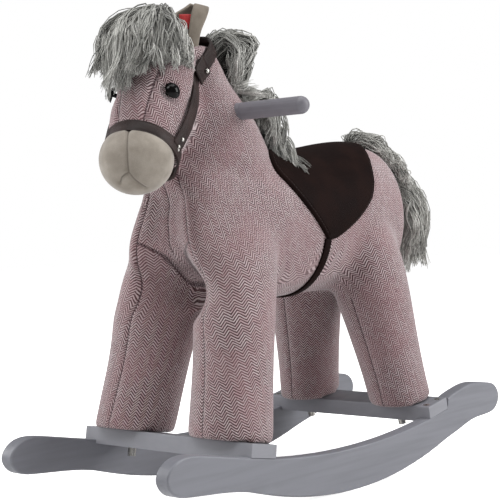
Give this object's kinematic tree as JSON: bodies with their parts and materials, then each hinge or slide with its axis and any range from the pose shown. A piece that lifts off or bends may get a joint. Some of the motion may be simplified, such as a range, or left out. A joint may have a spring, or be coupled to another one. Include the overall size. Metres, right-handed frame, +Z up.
{
  "type": "rocking horse",
  "caption": "Padded tweed rocking horse with saddle, bridle, yarn mane and tail, a dowel handle and painted wooden rockers joined by two crossbars.",
  "frame": {"origin": "on the floor, under the middle of the rockers", "axes": "+Z up; the horse faces -Y; +X is the horse's left side"},
  "size_m": [0.284, 0.6371, 0.564],
  "materials": {
    "rocker_paint": "satin grey paint",
    "handle_paint": "satin grey paint",
    "nickel": "nickel plated",
    "inner_wood": "bare pine and birch ply",
    "tweed": "herringbone tweed, dusty pink, cream and burgundy",
    "muzzle_suede": "short suede, warm grey",
    "ear_suede": "short suede, taupe",
    "eye_gloss": "black gloss",
    "bridle_leather": "dark brown",
    "saddle_leather": "smooth, very dark brown",
    "yarn": "shaggy grey yarn",
    "red_tag": "plain red",
    "dark_plastic": "matt"
  },
  "bodies": {
    "horse": {"bridle_rivets": "nickel", "cheek_strap_left": "bridle_leather", "cheek_strap_right": "bridle_leather", "crossbar_screws": "nickel", "crown_strap": "bridle_leather", "ear_left": "ear_suede", "ear_right": "ear_suede", "ear_switch": "dark_plastic", "eye_left": "eye_gloss", "eye_right": "eye_gloss", "eye_washers": "nickel", "forelock": "yarn", "frame_screws": "nickel", "front_crossbar": "rocker_paint", "girth": "saddle_leather", "handle": "handle_paint", "head": "tweed", "leg_bolts": "nickel", "leg_front_left": "tweed", "leg_front_right": "tweed", "leg_post_front_left": "inner_wood", "leg_post_front_right": "inner_wood", "leg_post_rear_left": "inner_wood", "leg_post_rear_right": "inner_wood", "leg_rear_left": "tweed", "leg_rear_right": "tweed", "mane": "yarn", "muzzle": "muzzle_suede", "neck": "tweed", "neck_board": "inner_wood", "noseband": "bridle_leather", "rear_crossbar": "rocker_paint", "rocker_left": "rocker_paint", "rocker_right": "rocker_paint", "rump_strip": "yarn", "saddle": "saddle_leather", "sound_box": "dark_plastic", "spine_board": "inner_wood", "torso": "tweed"},
    "tail": {"tail": "yarn"},
    "sound_button": {"sound_button": "red_tag"}
  },
  "joints": [
    {"name": "tail_swing", "type": "hinge", "parent": "horse", "child": "tail", "pos_m": [0, 0.285, 0.357], "axis": [0, 1, 0], "range_deg": [-22, 22]},
    {"name": "sound_button_press", "type": "slide", "parent": "horse", "child": "sound_button", "axis": [-0.866, 0.5, 0], "range_m": [0, 0.0015], "stiffness_N_per_m": 400, "springref_m": -0.001}
  ]
}
